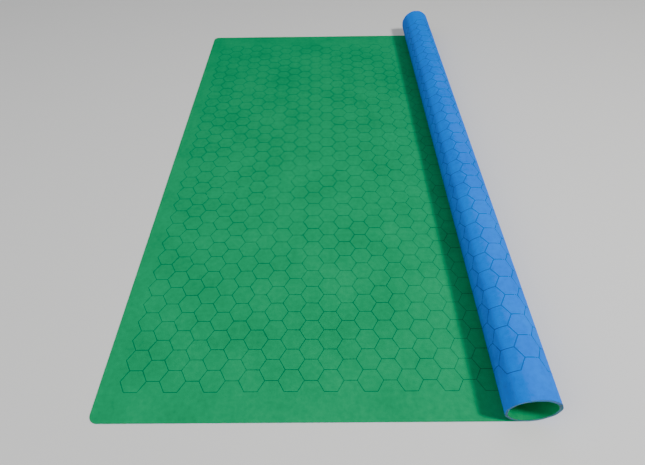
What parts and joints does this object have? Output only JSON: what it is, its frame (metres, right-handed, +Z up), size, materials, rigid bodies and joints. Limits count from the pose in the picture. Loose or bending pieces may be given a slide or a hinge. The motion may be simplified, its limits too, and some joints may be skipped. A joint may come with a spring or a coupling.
{
  "type": "roll-up hex-grid gaming mat",
  "caption": "Reversible roll-up gaming mat with a hex grid, green on one face and blue on the other, lying flat with one side rolled up.",
  "frame": {"origin": "middle of the mat's footprint on the table top, partly rolled as at rest", "axes": "+X from the flat free edge to the roll, +Y along the roll, +Z up"},
  "size_m": [0.4858, 0.8762, 0.0563],
  "materials": {
    "green_vinyl": "matte embossed vinyl, printed with fine darker green hexes",
    "blue_vinyl": "matte embossed vinyl, printed with fine darker blue hexes",
    "core": "pale backing seen at the cut edge"
  },
  "bodies": {
    "flat_field": {"blue_face": "blue_vinyl", "core": "core", "green_face": "green_vinyl"},
    "lead_strip": {"lead_strip": "green_vinyl"},
    "curl_01": {"curl_01": "blue_vinyl"},
    "curl_02": {"curl_02": "blue_vinyl"},
    "curl_03": {"curl_03": "blue_vinyl"},
    "curl_04": {"curl_04": "blue_vinyl"},
    "curl_05": {"curl_05": "blue_vinyl"},
    "curl_06": {"curl_06": "blue_vinyl"},
    "curl_07": {"curl_07": "blue_vinyl"},
    "curl_08": {"curl_08": "blue_vinyl"},
    "curl_09": {"curl_09": "blue_vinyl"},
    "curl_10": {"curl_10": "blue_vinyl"},
    "curl_11": {"curl_11": "blue_vinyl"},
    "curl_12": {"curl_12": "blue_vinyl"},
    "curl_13": {"curl_13": "blue_vinyl"},
    "curl_14": {"curl_14": "blue_vinyl"},
    "curl_15": {"curl_15": "blue_vinyl"},
    "curl_16": {"curl_16": "blue_vinyl"},
    "curl_17": {"curl_17": "blue_vinyl"},
    "curl_18": {"curl_18": "blue_vinyl"},
    "curl_19": {"curl_19": "blue_vinyl"},
    "curl_20": {"curl_20": "blue_vinyl"},
    "curl_21": {"curl_21": "blue_vinyl"},
    "curl_22": {"curl_22": "blue_vinyl"},
    "curl_23": {"curl_23": "blue_vinyl"},
    "curl_24": {"curl_24": "blue_vinyl"},
    "curl_25": {"curl_25": "blue_vinyl"},
    "curl_26": {"curl_26": "blue_vinyl"},
    "curl_27": {"curl_27": "blue_vinyl"},
    "curl_28": {"curl_28": "blue_vinyl"},
    "curl_29": {"curl_29": "blue_vinyl"},
    "curl_30": {"curl_30": "blue_vinyl"},
    "curl_31": {"curl_31": "blue_vinyl"},
    "curl_32": {"curl_32": "blue_vinyl"},
    "curl_33": {"curl_33": "blue_vinyl"},
    "curl_34": {"curl_34": "blue_vinyl"},
    "curl_35": {"curl_35": "blue_vinyl"},
    "curl_36": {"curl_36": "blue_vinyl"},
    "curl_37": {"curl_37": "blue_vinyl"},
    "curl_38": {"curl_38": "blue_vinyl"},
    "curl_39": {"curl_39": "blue_vinyl"},
    "curl_40": {"curl_40": "blue_vinyl"},
    "curl_41": {"curl_41": "blue_vinyl"},
    "curl_42": {"curl_42": "blue_vinyl"},
    "curl_43": {"curl_43": "blue_vinyl"},
    "curl_44": {"curl_44": "blue_vinyl"},
    "curl_45": {"curl_45": "blue_vinyl"},
    "curl_46": {"curl_46": "blue_vinyl"},
    "curl_47": {"curl_47": "blue_vinyl"},
    "curl_48": {"curl_48": "blue_vinyl"},
    "curl_49": {"curl_49": "blue_vinyl"},
    "curl_50": {"curl_50": "blue_vinyl"},
    "curl_51": {"curl_51": "blue_vinyl"}
  },
  "joints": [
    {"name": "lead_lift", "type": "hinge", "parent": "flat_field", "child": "lead_strip", "pos_m": [0.17462, 0, 0], "axis": [0, 1, 0], "range_deg": [-1.66, 0]},
    {"name": "hinge_01", "type": "hinge", "parent": "lead_strip", "child": "curl_01", "pos_m": [0.21462, 0, 0], "axis": [0, 1, 0], "range_deg": [0, 18.03]},
    {"name": "hinge_02", "type": "hinge", "parent": "curl_01", "child": "curl_02", "pos_m": [0.22993, 0, 0.0045], "axis": [0, 1, 0], "range_deg": [0, 32.73]},
    {"name": "hinge_03", "type": "hinge", "parent": "curl_02", "child": "curl_03", "pos_m": [0.24036, 0, 0.01653], "axis": [0, 1, 0], "range_deg": [0, 32.73]},
    {"name": "hinge_04", "type": "hinge", "parent": "curl_03", "child": "curl_04", "pos_m": [0.24262, 0, 0.03224], "axis": [0, 1, 0], "range_deg": [0, 32.73]},
    {"name": "hinge_05", "type": "hinge", "parent": "curl_04", "child": "curl_05", "pos_m": [0.23604, 0, 0.04665], "axis": [0, 1, 0], "range_deg": [0, 32.73]},
    {"name": "hinge_06", "type": "hinge", "parent": "curl_05", "child": "curl_06", "pos_m": [0.22275, 0, 0.05519], "axis": [0, 1, 0], "range_deg": [0, 32.73]},
    {"name": "hinge_07", "type": "hinge", "parent": "curl_06", "child": "curl_07", "pos_m": [0.20699, 0, 0.05519], "axis": [0, 1, 0], "range_deg": [0, 32.73]},
    {"name": "hinge_08", "type": "hinge", "parent": "curl_07", "child": "curl_08", "pos_m": [0.19377, 0, 0.04669], "axis": [0, 1, 0], "range_deg": [0, 32.73]},
    {"name": "hinge_09", "type": "hinge", "parent": "curl_08", "child": "curl_09", "pos_m": [0.18726, 0, 0.03244], "axis": [0, 1, 0], "range_deg": [0, 32.73]},
    {"name": "hinge_10", "type": "hinge", "parent": "curl_09", "child": "curl_10", "pos_m": [0.18949, 0, 0.01696], "axis": [0, 1, 0], "range_deg": [0, 32.73]},
    {"name": "hinge_11", "type": "hinge", "parent": "curl_10", "child": "curl_11", "pos_m": [0.1997, 0, 0.00518], "axis": [0, 1, 0], "range_deg": [0, 32.73]},
    {"name": "hinge_12", "type": "hinge", "parent": "curl_11", "child": "curl_12", "pos_m": [0.21462, 0, 0.0008], "axis": [0, 1, 0], "range_deg": [0, 32.73]},
    {"name": "hinge_13", "type": "hinge", "parent": "curl_12", "child": "curl_13", "pos_m": [0.2295, 0, 0.00517], "axis": [0, 1, 0], "range_deg": [0, 32.73]},
    {"name": "hinge_14", "type": "hinge", "parent": "curl_13", "child": "curl_14", "pos_m": [0.23963, 0, 0.01686], "axis": [0, 1, 0], "range_deg": [0, 32.73]},
    {"name": "hinge_15", "type": "hinge", "parent": "curl_14", "child": "curl_15", "pos_m": [0.24182, 0, 0.03213], "axis": [0, 1, 0], "range_deg": [0, 32.73]},
    {"name": "hinge_16", "type": "hinge", "parent": "curl_15", "child": "curl_16", "pos_m": [0.23543, 0, 0.04612], "axis": [0, 1, 0], "range_deg": [0, 32.73]},
    {"name": "hinge_17", "type": "hinge", "parent": "curl_16", "child": "curl_17", "pos_m": [0.22252, 0, 0.05442], "axis": [0, 1, 0], "range_deg": [0, 32.73]},
    {"name": "hinge_18", "type": "hinge", "parent": "curl_17", "child": "curl_18", "pos_m": [0.20722, 0, 0.05442], "axis": [0, 1, 0], "range_deg": [0, 32.73]},
    {"name": "hinge_19", "type": "hinge", "parent": "curl_18", "child": "curl_19", "pos_m": [0.19438, 0, 0.04617], "axis": [0, 1, 0], "range_deg": [0, 32.73]},
    {"name": "hinge_20", "type": "hinge", "parent": "curl_19", "child": "curl_20", "pos_m": [0.18806, 0, 0.03232], "axis": [0, 1, 0], "range_deg": [0, 32.73]},
    {"name": "hinge_21", "type": "hinge", "parent": "curl_20", "child": "curl_21", "pos_m": [0.19022, 0, 0.0173], "axis": [0, 1, 0], "range_deg": [0, 32.73]},
    {"name": "hinge_22", "type": "hinge", "parent": "curl_21", "child": "curl_22", "pos_m": [0.20013, 0, 0.00585], "axis": [0, 1, 0], "range_deg": [0, 32.73]},
    {"name": "hinge_23", "type": "hinge", "parent": "curl_22", "child": "curl_23", "pos_m": [0.21462, 0, 0.0016], "axis": [0, 1, 0], "range_deg": [0, 32.73]},
    {"name": "hinge_24", "type": "hinge", "parent": "curl_23", "child": "curl_24", "pos_m": [0.22907, 0, 0.00584], "axis": [0, 1, 0], "range_deg": [0, 32.73]},
    {"name": "hinge_25", "type": "hinge", "parent": "curl_24", "child": "curl_25", "pos_m": [0.2389, 0, 0.01719], "axis": [0, 1, 0], "range_deg": [0, 32.73]},
    {"name": "hinge_26", "type": "hinge", "parent": "curl_25", "child": "curl_26", "pos_m": [0.24103, 0, 0.03201], "axis": [0, 1, 0], "range_deg": [0, 32.73]},
    {"name": "hinge_27", "type": "hinge", "parent": "curl_26", "child": "curl_27", "pos_m": [0.23483, 0, 0.0456], "axis": [0, 1, 0], "range_deg": [0, 32.73]},
    {"name": "hinge_28", "type": "hinge", "parent": "curl_27", "child": "curl_28", "pos_m": [0.2223, 0, 0.05365], "axis": [0, 1, 0], "range_deg": [0, 32.73]},
    {"name": "hinge_29", "type": "hinge", "parent": "curl_28", "child": "curl_29", "pos_m": [0.20744, 0, 0.05365], "axis": [0, 1, 0], "range_deg": [0, 32.73]},
    {"name": "hinge_30", "type": "hinge", "parent": "curl_29", "child": "curl_30", "pos_m": [0.19498, 0, 0.04564], "axis": [0, 1, 0], "range_deg": [0, 32.73]},
    {"name": "hinge_31", "type": "hinge", "parent": "curl_30", "child": "curl_31", "pos_m": [0.18885, 0, 0.03221], "axis": [0, 1, 0], "range_deg": [0, 32.73]},
    {"name": "hinge_32", "type": "hinge", "parent": "curl_31", "child": "curl_32", "pos_m": [0.19094, 0, 0.01763], "axis": [0, 1, 0], "range_deg": [0, 32.73]},
    {"name": "hinge_33", "type": "hinge", "parent": "curl_32", "child": "curl_33", "pos_m": [0.20056, 0, 0.00653], "axis": [0, 1, 0], "range_deg": [0, 32.73]},
    {"name": "hinge_34", "type": "hinge", "parent": "curl_33", "child": "curl_34", "pos_m": [0.21462, 0, 0.0024], "axis": [0, 1, 0], "range_deg": [0, 32.73]},
    {"name": "hinge_35", "type": "hinge", "parent": "curl_34", "child": "curl_35", "pos_m": [0.22863, 0, 0.00652], "axis": [0, 1, 0], "range_deg": [0, 32.73]},
    {"name": "hinge_36", "type": "hinge", "parent": "curl_35", "child": "curl_36", "pos_m": [0.23817, 0, 0.01752], "axis": [0, 1, 0], "range_deg": [0, 32.73]},
    {"name": "hinge_37", "type": "hinge", "parent": "curl_36", "child": "curl_37", "pos_m": [0.24024, 0, 0.0319], "axis": [0, 1, 0], "range_deg": [0, 32.73]},
    {"name": "hinge_38", "type": "hinge", "parent": "curl_37", "child": "curl_38", "pos_m": [0.23422, 0, 0.04508], "axis": [0, 1, 0], "range_deg": [0, 32.73]},
    {"name": "hinge_39", "type": "hinge", "parent": "curl_38", "child": "curl_39", "pos_m": [0.22207, 0, 0.05288], "axis": [0, 1, 0], "range_deg": [0, 32.73]},
    {"name": "unroll", "type": "hinge", "parent": "curl_39", "child": "curl_40", "pos_m": [0.20767, 0, 0.05288], "axis": [0, 1, 0], "range_deg": [0, 32.73]},
    {"name": "hinge_41", "type": "hinge", "parent": "curl_40", "child": "curl_41", "pos_m": [0.19559, 0, 0.04512], "axis": [0, 1, 0], "range_deg": [0, 32.73]},
    {"name": "hinge_42", "type": "hinge", "parent": "curl_41", "child": "curl_42", "pos_m": [0.18964, 0, 0.03209], "axis": [0, 1, 0], "range_deg": [0, 32.73]},
    {"name": "hinge_43", "type": "hinge", "parent": "curl_42", "child": "curl_43", "pos_m": [0.19167, 0, 0.01796], "axis": [0, 1, 0], "range_deg": [0, 32.73]},
    {"name": "hinge_44", "type": "hinge", "parent": "curl_43", "child": "curl_44", "pos_m": [0.201, 0, 0.0072], "axis": [0, 1, 0], "range_deg": [0, 32.73]},
    {"name": "hinge_45", "type": "hinge", "parent": "curl_44", "child": "curl_45", "pos_m": [0.21462, 0, 0.0032], "axis": [0, 1, 0], "range_deg": [0, 32.73]},
    {"name": "hinge_46", "type": "hinge", "parent": "curl_45", "child": "curl_46", "pos_m": [0.2282, 0, 0.00719], "axis": [0, 1, 0], "range_deg": [0, 32.73]},
    {"name": "hinge_47", "type": "hinge", "parent": "curl_46", "child": "curl_47", "pos_m": [0.23744, 0, 0.01786], "axis": [0, 1, 0], "range_deg": [0, 32.73]},
    {"name": "hinge_48", "type": "hinge", "parent": "curl_47", "child": "curl_48", "pos_m": [0.23945, 0, 0.03179], "axis": [0, 1, 0], "range_deg": [0, 32.73]},
    {"name": "hinge_49", "type": "hinge", "parent": "curl_48", "child": "curl_49", "pos_m": [0.23362, 0, 0.04455], "axis": [0, 1, 0], "range_deg": [0, 32.73]},
    {"name": "hinge_50", "type": "hinge", "parent": "curl_49", "child": "curl_50", "pos_m": [0.22185, 0, 0.05212], "axis": [0, 1, 0], "range_deg": [0, 32.73]},
    {"name": "hinge_51", "type": "hinge", "parent": "curl_50", "child": "curl_51", "pos_m": [0.2079, 0, 0.05212], "axis": [0, 1, 0], "range_deg": [0, 32.73]}
  ],
  "couplings": [
    {"joint": "lead_lift", "follows": "unroll", "ratio": -0.050778},
    {"joint": "hinge_01", "follows": "unroll", "ratio": 0.55078},
    {"joint": "hinge_02", "follows": "unroll", "ratio": 1},
    {"joint": "hinge_03", "follows": "unroll", "ratio": 1},
    {"joint": "hinge_04", "follows": "unroll", "ratio": 1},
    {"joint": "hinge_05", "follows": "unroll", "ratio": 1},
    {"joint": "hinge_06", "follows": "unroll", "ratio": 1},
    {"joint": "hinge_07", "follows": "unroll", "ratio": 1},
    {"joint": "hinge_08", "follows": "unroll", "ratio": 1},
    {"joint": "hinge_09", "follows": "unroll", "ratio": 1},
    {"joint": "hinge_10", "follows": "unroll", "ratio": 1},
    {"joint": "hinge_11", "follows": "unroll", "ratio": 1},
    {"joint": "hinge_12", "follows": "unroll", "ratio": 1},
    {"joint": "hinge_13", "follows": "unroll", "ratio": 1},
    {"joint": "hinge_14", "follows": "unroll", "ratio": 1},
    {"joint": "hinge_15", "follows": "unroll", "ratio": 1},
    {"joint": "hinge_16", "follows": "unroll", "ratio": 1},
    {"joint": "hinge_17", "follows": "unroll", "ratio": 1},
    {"joint": "hinge_18", "follows": "unroll", "ratio": 1},
    {"joint": "hinge_19", "follows": "unroll", "ratio": 1},
    {"joint": "hinge_20", "follows": "unroll", "ratio": 1},
    {"joint": "hinge_21", "follows": "unroll", "ratio": 1},
    {"joint": "hinge_22", "follows": "unroll", "ratio": 1},
    {"joint": "hinge_23", "follows": "unroll", "ratio": 1},
    {"joint": "hinge_24", "follows": "unroll", "ratio": 1},
    {"joint": "hinge_25", "follows": "unroll", "ratio": 1},
    {"joint": "hinge_26", "follows": "unroll", "ratio": 1},
    {"joint": "hinge_27", "follows": "unroll", "ratio": 1},
    {"joint": "hinge_28", "follows": "unroll", "ratio": 1},
    {"joint": "hinge_29", "follows": "unroll", "ratio": 1},
    {"joint": "hinge_30", "follows": "unroll", "ratio": 1},
    {"joint": "hinge_31", "follows": "unroll", "ratio": 1},
    {"joint": "hinge_32", "follows": "unroll", "ratio": 1},
    {"joint": "hinge_33", "follows": "unroll", "ratio": 1},
    {"joint": "hinge_34", "follows": "unroll", "ratio": 1},
    {"joint": "hinge_35", "follows": "unroll", "ratio": 1},
    {"joint": "hinge_36", "follows": "unroll", "ratio": 1},
    {"joint": "hinge_37", "follows": "unroll", "ratio": 1},
    {"joint": "hinge_38", "follows": "unroll", "ratio": 1},
    {"joint": "hinge_39", "follows": "unroll", "ratio": 1},
    {"joint": "hinge_41", "follows": "unroll", "ratio": 1},
    {"joint": "hinge_42", "follows": "unroll", "ratio": 1},
    {"joint": "hinge_43", "follows": "unroll", "ratio": 1},
    {"joint": "hinge_44", "follows": "unroll", "ratio": 1},
    {"joint": "hinge_45", "follows": "unroll", "ratio": 1},
    {"joint": "hinge_46", "follows": "unroll", "ratio": 1},
    {"joint": "hinge_47", "follows": "unroll", "ratio": 1},
    {"joint": "hinge_48", "follows": "unroll", "ratio": 1},
    {"joint": "hinge_49", "follows": "unroll", "ratio": 1},
    {"joint": "hinge_50", "follows": "unroll", "ratio": 1},
    {"joint": "hinge_51", "follows": "unroll", "ratio": 1}
  ]
}
